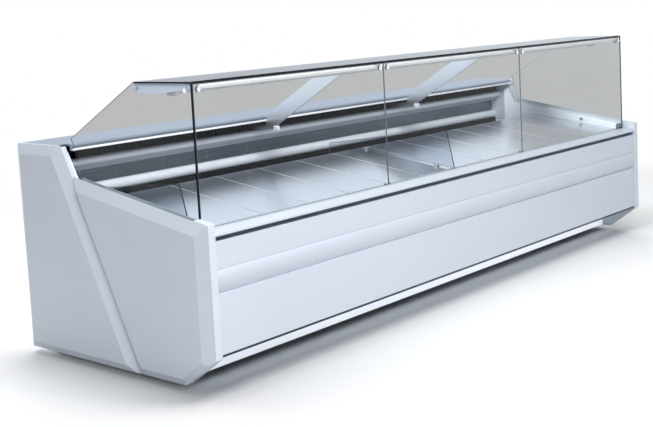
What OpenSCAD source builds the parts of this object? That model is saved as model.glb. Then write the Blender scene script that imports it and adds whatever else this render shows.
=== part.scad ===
// Refrigerated serve-over counter: three glazed bays over an insulated tub,
// with refrigerated storage and a condensing unit underneath.
// Frame: +X along the counter, +Y towards the operator's side, +Z up.
// Origin: on the floor, under the centre of the overall box.
// Profiles are drawn in (y, z) measured from the glass line and from the
// underside of the end panels, and placed() moves them into the frame.

/* [Overall] */
// Length of one bay
bay_len = 1250; // [1200:10:1300]
// Thickness of an end panel
end_t = 56; // [50:1:64]
// Height of the levelling feet below the end panels
foot_h = 28; // [24:1:40]

/* [Front] */
// How far the end panels stand in front of the glass line
nose = 92; // [88:1:96]
// Set-back of the front panels behind the end panels' nose
reveal = 8; // [7:1:10]
// Bulge of the bumper rail
bumper_bulge = 7; // [4:0.5:7]

/* [Rear] */
// Distance from the glass line to the rear of the end panels
rear_y = 1172; // [1172:1:1180]
// Height of the worktop above the end panels' underside
worktop_z = 976; // [974:1:978]

/* [Glazing] */
// Thickness of the glass
glass_t = 6; // [5:1:6]
// Height of the top of the shelf glass
glass_top = 1262; // [1262:1:1263]
// Depth of the glass shelf behind the glass line
shelf_d = 354; // [350:1:356]

/* [Doors] */
// Thickness of a storage door
door_t = 30; // [26:1:30]
// Gap between neighbouring doors
door_gap = 6; // [4:1:8]
// Radius of a door hinge pin
pin_r = 5; // [4:0.5:6]

/* [Fans] */
// Tip radius of the evaporator fans
evap_fan_r = 62; // [55:1:62]
// Tip radius of the condenser fan
cond_fan_r = 125; // [110:1:130]

/* [Hidden] */
$fn = 48;
bays = 3;
half_in = bays * bay_len / 2;       // inner faces of the end panels
half_len = half_in + end_t;
shift_y = (nose - rear_y) / 2;      // moves the glass line so that the box is centred
gap = 2;                            // joint gap between repeated plates
side_x = half_in - glass_t;         // inner face of the side glass
liner_t = 6;
liner_x = side_x - 1 - liner_t;     // inner face of the end liners
front_y = -nose + reveal;           // outer face of the front panels

// End panel outlines
split_foot = 366;
split_top = 845;
notch_z = 842;
notch_y = split_top - (split_top - split_foot) * (worktop_z - notch_z) / worktop_z;
slope_z = 690;
chamfer_z = 133;
chamfer_y = 97;
slope_rise = (notch_z - slope_z) / (notch_y + nose);
groove = 9;

// Deck: it rises from its front edge to the ridge and falls to the channel before the duct
deck_front = [26, 651];
deck_ridge = [640, 741];
deck_rear = [883, 688];
deck_count = 12;                    // full plates, between two narrow end plates
deck_pitch = 293;

// Tub
tub_z = 450;
tub_wall = 40;
tub_front = [-56, 34];
tub_rear = [876, 930];

// Rear duct
duct_y = 985;
duct_t = 15;

// Operator's side
floor_z = 66;
rear_panel_y = 1140;
door_out = 1142;
door_in = door_out - door_t;
post_d = 36;
post_w = 36;
door_z = [88, 484];
header_z = 466;
threshold_z = 100;
door_pitch = bay_len / 2;
door_count = 4;
door_w = door_pitch - door_gap;
hinge_y = door_out - door_t / 2;

// Top-hung front panes
pane_bottom = 660;
pane_top = glass_top - 10;
pane_axis = [4, pane_top - 4];
pane_edge = 28;                     // bolt to the nearest pane edge
knuckle_r = 3.5;
ear_r = 2.7;                        // half of a hinge ear, inside the back of the turning pane
pane_pin_r = 2;
run_fit = 0.05;

// Condensing unit
unit_x = half_in - bay_len;
cond_x = unit_x + 330;
cond_z = 235;

// Drain of the tub
drain_x = unit_x + 90;
drain_y = 320;

// Cable gland
gland_x = 1780;
gland_z = 76;

// Control box
control_x = 1120;
control_z = 745;
control_y = [rear_panel_y, rear_panel_y + 14];
switch_x = control_x - 70;
button_x = control_x + 76;
rocker_tilt = 8;

// Evaporator
evap_fan_y = 640;
evap_fan_z = 566;
evap_fan_x = bay_len / 2;
shaft_r = 4;

white = [0.86, 0.89, 0.94];
grey_white = [0.74, 0.77, 0.83];
steel = [0.72, 0.74, 0.77];
dark = [0.12, 0.13, 0.15];
clear = [0.80, 0.86, 0.86, 0.3];

// ---- helpers ----

module placed() translate([0, shift_y, foot_h]) children();

// A (y, z) outline run along X from x0 to x1
module along_x(x0, x1) placed() translate([x0, 0, 0]) rotate([90, 0, 90])
    linear_extrude(x1 - x0) children();

// A box from its lowest corner to its highest corner, in profile coordinates
module slab(x, y, z) placed() translate([x[0], y[0], z[0]])
    cube([x[1] - x[0], y[1] - y[0], z[1] - z[0]]);

// A cylinder along Y
module rod_y(x, y, z, r) placed() translate([x, y[0], z]) rotate([-90, 0, 0])
    cylinder(r = r, h = y[1] - y[0]);

// The same profile in one length for each bay, between the limits -lim and lim
module per_bay(lim, bay_gap = gap) for (b = [0 : bays - 1])
    along_x(max(-lim, -half_in + b * bay_len + bay_gap / 2),
            min(lim, -half_in + (b + 1) * bay_len - bay_gap / 2)) children();

module both_ends() {
    children();
    mirror([1, 0, 0]) children();
}

// ---- base ----

base_rail_ys = [[242, 282], [1040, 1080]];
base_xs = [-1780, -600, 600, 1780];

module base_rails() color(steel) for (y = base_rail_ys)
    slab([-half_in + 20, half_in - 20], y, [0, 60]);

module base_crossmembers() color(steel) for (x = base_xs)
    slab([x - 20, x + 20], [base_rail_ys[0][1], base_rail_ys[1][0]], [20, 60]);

module levelling_feet() color(dark) for (x = base_xs, y = base_rail_ys)
    translate([x, (y[0] + y[1]) / 2 + shift_y, 0]) {
        cylinder(r = 24, h = 9);
        translate([0, 0, 9]) cylinder(r = 15, h = 7);
        translate([0, 0, 16]) cylinder(r = 6, h = foot_h - 16);
    }

module base_floor() color(steel) difference() {
    slab([-half_in + 3, half_in - 3], [160, 1108], [60, floor_z]);
    placed() translate([drain_x, drain_y, 0]) cylinder(r = 22, h = 200);
}

module kick_plate() color(white) slab([-half_in + 3, half_in - 3], [148, 160], [4, 135]);

// ---- end panels ----

// The inner plate stays below the outer fields, out of sight behind their edge
rebate = 22;                        // drop of the plate along the slope
steep_rebate = 24;                  // set-back of the plate along the steep edge
worktop_seat = worktop_z - 10;      // top of the plate, under the worktop
steep_lean = (split_top - split_foot) / worktop_z;
plate_notch_z = notch_z - (rebate - steep_rebate * slope_rise) / (1 - steep_lean * slope_rise);
function slope_at(y) = slope_z + (y + nose) * slope_rise;
plate_outline = [[chamfer_y, 0], [rear_y, 0], [rear_y, worktop_seat],
                 [split_top + steep_rebate - steep_lean * (worktop_z - worktop_seat), worktop_seat],
                 [notch_y + steep_rebate - steep_lean * (notch_z - plate_notch_z), plate_notch_z],
                 [10, slope_at(10) - rebate], [-10, slope_at(-10)],
                 [-nose, slope_z], [-nose, chamfer_z]];
slope_ledge = 3;                    // the front field's edge lies this much below the slope
rear_field = [[split_foot + groove / 2, 0], [rear_y, 0], [rear_y, worktop_z],
              [split_top + groove / 2, worktop_z]];
front_field = [[chamfer_y, 0], [split_foot - groove / 2, 0],
               [notch_y - groove / 2, notch_z - groove / 2 * slope_rise - slope_ledge],
               [-nose, slope_z - slope_ledge], [-nose, chamfer_z]];
field_base = half_len - 18;         // plane that the raised fields stand on
front_drop = 4;                     // the front field lies this much below the rear one

// Removes a sloping border from a field whose top is at x = top: width w, and depth d
// at the edge p-q, with the field on the left of p-q
module border_cut(p, q, w, d, top) {
    edge = q - p;
    placed() translate([top - d, p[0], p[1]]) rotate([atan2(edge[1], edge[0]), 0, 0])
        rotate([0, atan2(d, w), 0]) translate([0, -200, -200])
            cube([100, norm(edge) + 400, w + 400]);
}

// borders lists the width and depth of the sloping border along each edge
module raised_field(outline, borders, top) difference() {
    along_x(field_base, top) polygon(outline);
    for (i = [0 : len(outline) - 1])
        if (borders[i][1] > 0)
            border_cut(outline[i], outline[(i + 1) % len(outline)],
                       borders[i][0], borders[i][1], top);
}

module end_panel() {
    along_x(half_in, field_base) polygon(plate_outline);
    raised_field(rear_field, [[29, 10], [22, 8], [49, 12], [72, 17]], half_len);
    raised_field(front_field, [[29, 10], [0, 0], [58, 13], [72, 15], [29, 8]],
                 half_len - front_drop);
}

module right_end_panel() color(grey_white) end_panel();
module left_end_panel() color(grey_white) mirror([1, 0, 0]) end_panel();

// Inner wall of the display at each end
liner_setback = 22;                 // the steep edge lies behind, and the slope below, the fields by this much
module end_liners() color(white) both_ends() along_x(liner_x, side_x - 1) polygon([
    [36, 641], [tub_rear[0] - 1, 641], [tub_rear[0] - 1, 669], [duct_y, 669], [duct_y, 940],
    [split_top + liner_setback, 940], [notch_y + liner_setback, notch_z - liner_setback], [36, slope_z - 4]]);

// ---- front ----

module front_sill() color(white) along_x(-half_in + 1, half_in - 1) polygon([
    [-nose + 3, 637], [-nose + 3, 646], [-glass_t - 2, 657], [24, 657], [24, 638],
    [-56, 638]]);

module shadow_strips() color(dark) {
    slab([-half_in + 1, half_in - 1], [front_y + 22, -56], [616, 637]);
    slab([-half_in + 1, half_in - 1], [front_y + 6, front_y + 30], [134, 145]);
}

module front_upper_panel() color(white)
    slab([-half_in + 1, half_in - 1], [front_y, -56], [502, 616]);

// The bumper swells out below its upper edge and draws in behind the lower panel's face
bumper_z = [401, 501];
bumper_crest = 471;                 // height of its foremost line
bumper_tuck = 10;                   // set-back of its lower edge
bumper_steps = 24;
function bumper_y(z) = front_y - bumper_bulge + (z > bumper_crest
    ? bumper_bulge * pow((z - bumper_crest) / (bumper_z[1] - bumper_crest), 2)
    : (bumper_bulge + bumper_tuck) * pow((bumper_crest - z) / (bumper_crest - bumper_z[0]), 2));

module bumper_rail() color(white) along_x(-half_in + 1, half_in - 1) polygon(concat(
    [for (i = [0 : bumper_steps])
        let(z = bumper_z[0] + i * (bumper_z[1] - bumper_z[0]) / bumper_steps) [bumper_y(z), z]],
    [[front_y + 27, bumper_z[1]], [front_y + 27, bumper_z[0]]]));

module front_lower_panel() color(white) along_x(-half_in + 1, half_in - 1) polygon([
    [front_y, 146], [front_y, 400], [front_y + 20, 400], [front_y + 20, 150],
    [147, 150], [147, 146]]);

// ---- tub and deck ----

module tub() color(white) difference() {
    along_x(-side_x + 1, side_x - 1) polygon([
        [tub_front[0], tub_z], [tub_rear[1], tub_z], [tub_rear[1], 668], [tub_rear[0], 668],
        [tub_rear[0], 636], [tub_front[0], 636]]);
    slab([-side_x + 1 + tub_wall, side_x - 1 - tub_wall], [tub_front[1], tub_rear[0] - 0.01],
         [tub_z + tub_wall, 700]);
    placed() translate([drain_x, drain_y, tub_z - 1]) cylinder(r = 20.2, h = tub_wall + 2);
}

deck_stops = concat(-liner_x, [for (i = [0 : deck_count]) (i - deck_count / 2) * deck_pitch], liner_x);

module deck_plates() color(steel) for (i = [1 : len(deck_stops) - 1]) {
    sheet = 3;
    along_x(deck_stops[i - 1] + gap / 2, deck_stops[i] - gap / 2) polygon([
        deck_front, deck_ridge, deck_rear, [deck_rear[0], 668], [deck_rear[0] - sheet, 668],
        [deck_rear[0] - sheet, deck_rear[1] - sheet], [deck_ridge[0], deck_ridge[1] - sheet],
        [deck_front[0] + sheet, deck_front[1] - sheet], [deck_front[0] + sheet, 636],
        [deck_front[0], 636]]);
}

// Each divider's x, and the foot and the top of its front edge
dividers = [[-1800, [150, 676], [192, 824]], [-50, [4, 658], [48, 862]]];

module deck_dividers() color(clear) for (d = dividers) along_x(d[0], d[0] + 4) polygon([
    d[1], d[2], [868, 760], [868, deck_rear[1] + 6], [deck_ridge[0], deck_ridge[1] + 0.5],
    [max(d[1][0], 30), d[1][1]]]);

module drain_pipe() color(dark) placed() translate([drain_x, drain_y, 8]) difference() {
    cylinder(r = 20, h = tub_z + tub_wall - 8);
    translate([0, 0, -1]) cylinder(r = 16, h = tub_z + tub_wall);
}

module evaporator() color(steel) {
    fin_x = 1500;
    for (i = [0 : 30]) {
        x = -fin_x + i * 100;
        slab([x, x + 3], [300, 560], [tub_z + tub_wall + 10, 622]);
    }
    for (y = [340, 400, 460, 520], z = [530, 590])
        placed() translate([-fin_x - 25, y, z]) rotate([0, 90, 0]) cylinder(r = 6, h = 2 * fin_x + 53);
    for (y = [300, 555])
        slab([-fin_x, fin_x + 3], [y, y + 5], [tub_z + tub_wall, tub_z + tub_wall + 12]);
}

// ---- fans ----

// Rotor on the Y axis at the origin, hub from y = 0 to y = depth
module rotor(r, hub_r, depth, blades, bore) rotate([-90, 0, 0]) difference() {
    union() {
        cylinder(r = hub_r, h = depth);
        for (a = [0 : 360 / blades : 359]) rotate([0, 0, a])
            translate([hub_r - 3, 0, depth / 2]) rotate([32, 0, 0])
                translate([0, -hub_r * 0.7, -1]) cube([r - hub_r, hub_r * 1.4, 2]);
    }
    translate([0, 0, -1]) cylinder(r = bore, h = depth + 2);
}

// Motor with its shaft towards -Y, held by an arm and a foot on each side of a rotor of radius r
module motor_on_feet(r, motor_r, motor_h, shaft, foot_z) {
    rotate([-90, 0, 0]) {
        cylinder(r = motor_r, h = motor_h);
        translate([0, 0, -shaft]) cylinder(r = shaft_r, h = shaft + 1);
    }
    for (s = [-1, 1]) {
        translate([s > 0 ? motor_r - 3 : -r - 12, motor_h / 2 - 6, -8])
            cube([r + 15 - motor_r, 12, 16]);
        translate([s > 0 ? r + 9 : -r - 19, motor_h / 2 - 15, -foot_z]) cube([10, 30, foot_z + 8]);
    }
}

evap_rotor_depth = 26;

module evaporator_fan_motors() color(dark) for (x = [-evap_fan_x, evap_fan_x])
    placed() translate([x, evap_fan_y + evap_rotor_depth + 4, evap_fan_z])
        motor_on_feet(evap_fan_r, 24, 50, evap_rotor_depth + 2, evap_fan_z - tub_z - tub_wall);

module evaporator_fan(x) color(steel) placed() translate([x, evap_fan_y, evap_fan_z])
    rotor(evap_fan_r, 20, evap_rotor_depth, 5, shaft_r + run_fit);

module evaporator_fan_left() evaporator_fan(-evap_fan_x);
module evaporator_fan_right() evaporator_fan(evap_fan_x);

// ---- rear duct and worktop ----

module duct_back_plate() color(steel)
    slab([-side_x + 1, side_x - 1], [duct_y, duct_y + duct_t], [tub_z, worktop_z - 8]);

module upper_duct_rail() color(white) per_bay(liner_x - 9) union() {
    translate([922, 878]) circle(r = 18);
    polygon([[922, 896], [duct_y, 896], [duct_y, 828], [912, 863]]);
}

module lower_duct_rail() color(white) per_bay(liner_x - 9) intersection() {
    translate([975, 735]) circle(r = 27);
    translate([duct_y - 60, 700]) square([60, 80]);
}

module duct_rail_end_caps() color(grey_white) both_ends()
    slab([liner_x - 8, liner_x], [878, duct_y], [700, 900]);

// Folded sheet; its top runs on over the inner plates of the end panels
module worktop() color(steel) {
    front = 826;
    rear = rear_y - 4;
    t = 8;
    per_bay(side_x - 1) polygon([
        [front, 946], [front, worktop_z - t], [front + t, worktop_z], [rear, worktop_z],
        [rear, 936], [rear - t, 936], [rear - t, worktop_z - t], [front + 2 * t, worktop_z - t],
        [front + 2 * t, 946]]);
    both_ends() slab([side_x - 1, field_base - 1], [split_top + 30, rear - t - 2],
                     [worktop_z - t, worktop_z]);
}

module rear_upper_panel() color(steel)
    slab([-side_x + 1, side_x - 1], [rear_panel_y - 14, rear_panel_y], [492, worktop_z - 8]);

post_xs = [-half_in + 20, -2 * door_pitch, -door_pitch, 0, door_pitch, half_in - 20];

module rear_posts() color(steel) for (x = post_xs)
    slab([x - post_w / 2, x + post_w / 2], [door_in - 4 - post_d, door_in - 4],
         [threshold_z, header_z]);

module rear_rails() color(steel) difference() {
    for (z = [[floor_z, threshold_z], [header_z, 492]])
        slab([-half_in + 2, half_in - 2], [door_in - 4 - post_d, door_in - 4], z);
    rod_y(gland_x, [door_in - 60, door_in], gland_z, 9);
}

module storage_front_wall() color(white)
    slab([-half_in + 3, half_in - 3], [160, 200], [floor_z, tub_z]);

module unit_bulkhead() color(white)
    slab([unit_x - 15, unit_x + 15], [200, door_in - 4 - post_d], [floor_z, tub_z]);

// ---- storage doors ----

function door_x(i) = -half_in + (i - 1) * door_pitch + door_gap / 2;
function hinge_x(i) = door_x(i) + door_t / 2;

module storage_door(i) color(white) difference() {
    union() {
        placed() translate([hinge_x(i), hinge_y, door_z[0]])
            cylinder(r = door_t / 2, h = door_z[1] - door_z[0]);
        slab([hinge_x(i), door_x(i) + door_w], [door_in, door_out], door_z);
        grip = door_x(i) + door_w - 50;
        placed() translate([grip, door_out, 180]) linear_extrude(212)
            polygon([[0, 0], [6, 22], [20, 26], [26, 22], [26, 0]]);
    }
    for (z = [door_z[0] - 1, door_z[1] - 22])
        placed() translate([hinge_x(i), hinge_y, z]) cylinder(r = pin_r + run_fit, h = 23);
}

module storage_door_1() storage_door(1);
module storage_door_2() storage_door(2);
module storage_door_3() storage_door(3);
module storage_door_4() storage_door(4);

module door_hinge_pins() color(steel) for (i = [1 : door_count], top = [0, 1]) {
    z = top ? door_z[1] + 0.5 : door_z[0] - 4;
    slab([hinge_x(i) - 12, hinge_x(i) + 12], [door_in - 4, hinge_y + 10], [z, z + 3.5]);
    placed() translate([hinge_x(i), hinge_y, top ? door_z[1] - 20 : door_z[0] - 2])
        cylinder(r = pin_r, h = 22);
}

// ---- condensing unit ----

module compressor() color(dark) placed() translate([unit_x + 800, 700, floor_z]) {
    for (x = [-70, 70], y = [-70, 70]) translate([x, y, 0]) cylinder(r = 12, h = 16);
    translate([-90, -90, 16]) cube([180, 180, 4]);
    translate([0, 0, 20]) cylinder(r = 85, h = 150);
    translate([0, 0, 170]) sphere(r = 84.9);
    translate([-30, 60, 80]) cube([60, 45, 60]);
}

module condenser() color(steel) {
    for (i = [0 : 22]) slab([cond_x - 165 + i * 15, cond_x - 163 + i * 15], [1000, 1050], [86, 384]);
    for (x = [cond_x - 175, cond_x + 167]) slab([x, x + 8], [990, 1055], [floor_z, 400]);
    for (z = [110 : 50 : 360]) placed() translate([cond_x - 190, 1025, z]) rotate([0, 90, 0])
        cylinder(r = 5, h = 380);
}

cond_rotor_depth = 30;

module condenser_fan_motor() color(dark)
    placed() translate([cond_x, 950 - 4, cond_z]) rotate([0, 0, 180])
        motor_on_feet(cond_fan_r, 40, 80, cond_rotor_depth + 2, cond_z - floor_z);

module condenser_fan() color(steel) placed() translate([cond_x, 950, cond_z])
    rotor(cond_fan_r, 32, cond_rotor_depth, 5, shaft_r + run_fit);

module rear_grille() color(white) {
    x0 = unit_x + 3;
    x1 = half_in - 3;
    for (x = [[x0, x0 + 30], [x1 - 30, x1]]) slab(x, [door_in, door_in + 16], door_z);
    for (z = [[door_z[0], door_z[0] + 30], [door_z[1] - 30, door_z[1]]])
        slab([x0, x1], [door_in, door_in + 16], z);
    for (z = [door_z[0] + 36 : 22 : door_z[1] - 40])
        along_x(x0 + 20, x1 - 20) translate([door_in + 2, z]) polygon([
            [0, 10], [2, 11], [12, 1], [10, 0]]);
}

// Empty cable gland; the hole takes a mains lead
module power_gland() color(dark) difference() {
    union() {
        rod_y(gland_x, [door_in - 50, door_in - 4 + 9], gland_z, 8.9);
        placed() translate([gland_x, door_in - 4, gland_z]) rotate([-90, 0, 0]) 
            cylinder(r = 11, h = 5, $fn = 6);
    }
    rod_y(gland_x, [door_in - 60, door_in + 30], gland_z, 5);
}

// ---- controls ----

module control_box() color(dark) difference() {
    slab([control_x - 120, control_x + 120], control_y, [control_z - 42, control_z + 42]);
    slab([switch_x - 12.5, switch_x + 12.5], [control_y[0] - 1, control_y[1] + 1],
         [control_z - 16.5, control_z + 16.5]);
    rod_y(button_x, [control_y[0] - 1, control_y[1] + 1], control_z, 7.4);
    slab([control_x - 35, control_x + 45], [control_y[1] - 2, control_y[1] + 1],
         [control_z - 18, control_z + 18]);
}

rocker_half = 12;
trunnion = 0.4;                     // length of the round trunnion at each side of the rocker

module light_switch() color("white") placed()
    translate([switch_x, control_y[0] + 10, control_z]) rotate([-rocker_tilt, 0, 0])
        rotate([0, 90, 0]) {
            translate([0, 0, -rocker_half]) linear_extrude(2 * rocker_half)
                polygon([[-14, -4], [14, -4], [14, 7], [0, 5], [-14, 7]]);
            translate([0, 0, -rocker_half - trunnion])
                cylinder(r = 3, h = 2 * (rocker_half + trunnion));
        }

module defrost_button() color("white")
    rod_y(button_x, [control_y[0] + 4, control_y[1] + 4], control_z, 7);

// ---- canopy and glazing ----

canopy_x = side_x - 6;

module canopy_profile() color(steel) along_x(-canopy_x, canopy_x) polygon([
    [18.2, 1236], [251, 1211], [350, 1217], [352, glass_top - 8], [18.2, glass_top - 8]]);

module canopy_lip() color(white) slab([-canopy_x, canopy_x], [12, 18], [1229, glass_top - 8]);

module canopy_end_caps() color(white) both_ends() along_x(canopy_x, side_x) polygon([
    [12, 1230], [251, 1207], [354, 1215], [356, glass_top - 8], [12, glass_top - 8]]);

module canopy_lamp() color("white") along_x(-canopy_x + 60, canopy_x - 60) polygon([
    [150, 1221.8], [200, 1216.4], [196, 1204], [154, 1206]]);

module canopy_supports() color(steel) for (x = [-bay_len / 2, bay_len / 2])
    along_x(x - 4, x + 4) polygon([
        [240, 1212], [251, 1210.9], [350, 1216.9], [390, 1219], [796, 984], [806, 930],
        [duct_y, 926], [duct_y, 904], [766, 906]]);

module shelf_glass() color(clear) per_bay(side_x - 0.5)
    translate([10, glass_top - 8]) square([shelf_d - 10, 8]);

glass_foot = 46;                    // depth of the side glasses below the slope
module side_glasses() color(clear) both_ends() along_x(side_x, half_in) polygon([
    [-glass_t, slope_at(-glass_t) - 22], [24, slope_at(24) - glass_foot],
    [notch_y - 16, slope_at(notch_y - 16) - glass_foot], [804, 966], [822, 1003],
    [shelf_d, glass_top], [-glass_t, glass_top]]);

// Holding profile along the foot of each side glass
channel_w = 28;
channel_foot = slope_at(0) - 38;
channel_end = notch_y - 18;
channel_rise = channel_end * slope_rise;

module side_glass_channels() color(steel) both_ends() along_x(side_x - 1, side_x) polygon([
    [0, channel_foot], [channel_end, channel_foot + channel_rise],
    [channel_end, channel_foot + channel_rise + channel_w], [0, channel_foot + channel_w]]);

pane_lim = side_x - 1.5;
pane_gap = 3;

function pane_x(b) = [max(-pane_lim, -half_in + b * bay_len + pane_gap / 2),
                      min(pane_lim, -half_in + (b + 1) * bay_len - pane_gap / 2)];
function clamp_xs(b) = [pane_x(b)[0] + pane_edge, pane_x(b)[1] - pane_edge];

bolt_z = 1230;
knuckle_half = 10;
clamp_r = 12;

module front_glass(b) color(clear) difference() {
    slab(pane_x(b), [-glass_t, 0], [pane_bottom, pane_top]);
    for (x = clamp_xs(b)) rod_y(x, [-glass_t - 1, 1], bolt_z, 4.5);
}

module front_glass_left() front_glass(0);
module front_glass_middle() front_glass(1);
module front_glass_right() front_glass(2);

// A clamp behind each top corner of a pane, with its bolt and its hinge knuckle
module pane_clamps(b) color(steel) for (x = clamp_xs(b)) difference() {
    union() {
        rod_y(x, [0, 8], bolt_z, clamp_r);
        slab([x - knuckle_half, x + knuckle_half], [0.5, 7.5], [bolt_z, pane_axis[1]]);
        placed() translate([x - knuckle_half, pane_axis[0], pane_axis[1]]) rotate([0, 90, 0])
            cylinder(r = knuckle_r, h = 2 * knuckle_half);
        rod_y(x, [-glass_t, 1], bolt_z, 4);
        rod_y(x, [-glass_t - 3, -glass_t], bolt_z, 8);
    }
    placed() translate([x - 30, pane_axis[0], pane_axis[1]]) rotate([0, 90, 0])
        cylinder(r = pane_pin_r + run_fit, h = 60);
}

module pane_clamps_left() pane_clamps(0);
module pane_clamps_middle() pane_clamps(1);
module pane_clamps_right() pane_clamps(2);

// Fixed hinge ears and pins on the canopy lip
module pane_hinge_pins() color(steel) for (b = [0 : bays - 1], x = clamp_xs(b)) {
    placed() translate([x - knuckle_half - 4, pane_axis[0], pane_axis[1]]) rotate([0, 90, 0])
        cylinder(r = pane_pin_r, h = 2 * knuckle_half + 8);
    for (e = [-knuckle_half - 4, knuckle_half + 1])
        slab([x + e, x + e + 3], [pane_axis[0] - ear_r, 12],
             [pane_axis[1] - ear_r, pane_axis[1] + ear_r]);
}

// ---- assembly ----

base_rails();
base_crossmembers();
levelling_feet();
base_floor();
kick_plate();
left_end_panel();
right_end_panel();
end_liners();
front_sill();
shadow_strips();
front_upper_panel();
bumper_rail();
front_lower_panel();
tub();
deck_plates();
deck_dividers();
drain_pipe();
evaporator();
evaporator_fan_motors();
evaporator_fan_left();
evaporator_fan_right();
duct_back_plate();
upper_duct_rail();
lower_duct_rail();
duct_rail_end_caps();
worktop();
rear_upper_panel();
rear_posts();
rear_rails();
storage_front_wall();
unit_bulkhead();
door_hinge_pins();
storage_door_1();
storage_door_2();
storage_door_3();
storage_door_4();
compressor();
condenser();
condenser_fan_motor();
condenser_fan();
rear_grille();
power_gland();
control_box();
light_switch();
defrost_button();
canopy_profile();
canopy_lip();
canopy_end_caps();
canopy_lamp();
canopy_supports();
shelf_glass();
side_glasses();
side_glass_channels();
pane_hinge_pins();
front_glass_left();
front_glass_middle();
front_glass_right();
pane_clamps_left();
pane_clamps_middle();
pane_clamps_right();
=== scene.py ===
import math

import bmesh
import bpy
from mathutils import Matrix, Vector


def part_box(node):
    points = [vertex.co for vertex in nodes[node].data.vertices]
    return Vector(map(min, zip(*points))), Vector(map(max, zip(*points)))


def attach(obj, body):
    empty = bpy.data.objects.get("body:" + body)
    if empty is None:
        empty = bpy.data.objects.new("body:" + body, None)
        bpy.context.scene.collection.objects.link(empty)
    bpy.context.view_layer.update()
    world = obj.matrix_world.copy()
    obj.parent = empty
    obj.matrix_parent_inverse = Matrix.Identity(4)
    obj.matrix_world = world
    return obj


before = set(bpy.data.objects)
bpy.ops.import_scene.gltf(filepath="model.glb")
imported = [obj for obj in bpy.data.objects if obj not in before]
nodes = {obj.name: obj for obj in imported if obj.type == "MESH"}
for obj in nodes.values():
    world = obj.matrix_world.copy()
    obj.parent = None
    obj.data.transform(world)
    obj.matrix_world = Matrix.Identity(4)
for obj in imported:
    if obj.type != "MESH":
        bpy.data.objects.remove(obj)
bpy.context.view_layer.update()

MM = 0.001
GLASS_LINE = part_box("front_glass_left")[1].y  # where at() has y = 0
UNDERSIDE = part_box("left_end_panel")[0].z  # where at() has z = 0
GLASS_T = 6
HALF_IN = -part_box("left_end_panel")[1].x / MM  # inner faces of the end panels
SIDE_X = HALF_IN - GLASS_T  # inner faces of the side glasses
BAY = 2 * HALF_IN / 3
JOINTS_X = (-BAY / 2, BAY / 2)
BAYS = ("left", "middle", "right")


def at(x, y, z):
    """A point from X, the distance behind the glass line and the height over
    the end panels' underside, in mm."""
    return Vector((x * MM, GLASS_LINE + y * MM, UNDERSIDE + z * MM))


def local(node):
    """A node's lowest and highest corner in the same millimetres as at() takes."""
    lo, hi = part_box(node)
    return tuple(
        Vector((p.x / MM, (p.y - GLASS_LINE) / MM, (p.z - UNDERSIDE) / MM))
        for p in (lo, hi)
    )


# ---------------------------------------------------------------- materials


class Graph:
    """The node tree of a material or a world, with short calls for the nodes used here."""

    def __init__(self, owner):
        self.owner = owner
        owner.use_nodes = True
        self.tree = owner.node_tree
        self.tree.nodes.clear()

    def node(self, kind, inputs=None, **settings):
        n = self.tree.nodes.new("ShaderNode" + kind)
        for key, value in settings.items():
            setattr(n, key, value)
        for key, value in (inputs or {}).items():
            if isinstance(value, bpy.types.NodeSocket):
                self.tree.links.new(value, n.inputs[key])
            else:
                n.inputs[key].default_value = value
        return n

    def noise(self, scale, detail=2.0, stretch=(1, 1, 1), roughness=0.5):
        """Noise over the object's own coordinates, denser where stretch is larger."""
        coords = self.node("TexCoord").outputs["Object"]
        mapped = self.node("Mapping", {"Vector": coords, "Scale": stretch})
        made = self.node(
            "TexNoise",
            {
                "Vector": mapped.outputs[0],
                "Scale": scale,
                "Detail": detail,
                "Roughness": roughness,
            },
        )
        return made.outputs["Fac"]

    def spread(self, fac, low, high):
        """Takes noise, which lies mostly between 0.3 and 0.7, to the range low to high."""
        return self.node(
            "MapRange",
            {"Value": fac, "From Min": 0.3, "From Max": 0.7, "To Min": low, "To Max": high},
        ).outputs["Result"]

    def shades(self, fac, colour, change):
        """The colour, darker by change where fac is low and lighter where it is high."""
        ramp = self.node("ValToRGB", {"Fac": fac})
        for element, place, factor in zip(
            ramp.color_ramp.elements, (0.3, 0.7), (1 - change, 1 + change)
        ):
            element.position = place
            element.color = [min(c * factor, 1) for c in colour] + [1]
        return ramp.outputs["Color"]

    def bump(self, height, strength, distance, under=None):
        inputs = {"Height": height, "Strength": strength, "Distance": distance}
        if under is not None:
            inputs["Normal"] = under
        return self.node("Bump", inputs).outputs["Normal"]

    def principled(self, **inputs):
        named = {key.replace("_", " "): value for key, value in inputs.items()}
        return self.node("BsdfPrincipled", named).outputs["BSDF"]

    def finish(self, shader, output="OutputMaterial"):
        self.node(output, {"Surface": shader})
        return self.owner


def paint(name, colour, rough=0.34, coat=0.25, peel=0.035):
    """Powder coat: fine orange peel, with slight changes of shade and gloss."""
    g = Graph(bpy.data.materials.new(name))
    broad = g.noise(2.2, 3)
    fine = g.noise(1100, 1)
    return g.finish(
        g.principled(
            Base_Color=g.shades(broad, colour, 0.012),
            Roughness=g.spread(g.noise(34, 4), rough - 0.04, rough + 0.05),
            Normal=g.bump(fine, peel, 0.0004, g.bump(g.noise(9, 2), 0.04, 0.0008)),
            Coat_Weight=coat,
            Coat_Roughness=0.22,
        )
    )


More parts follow.
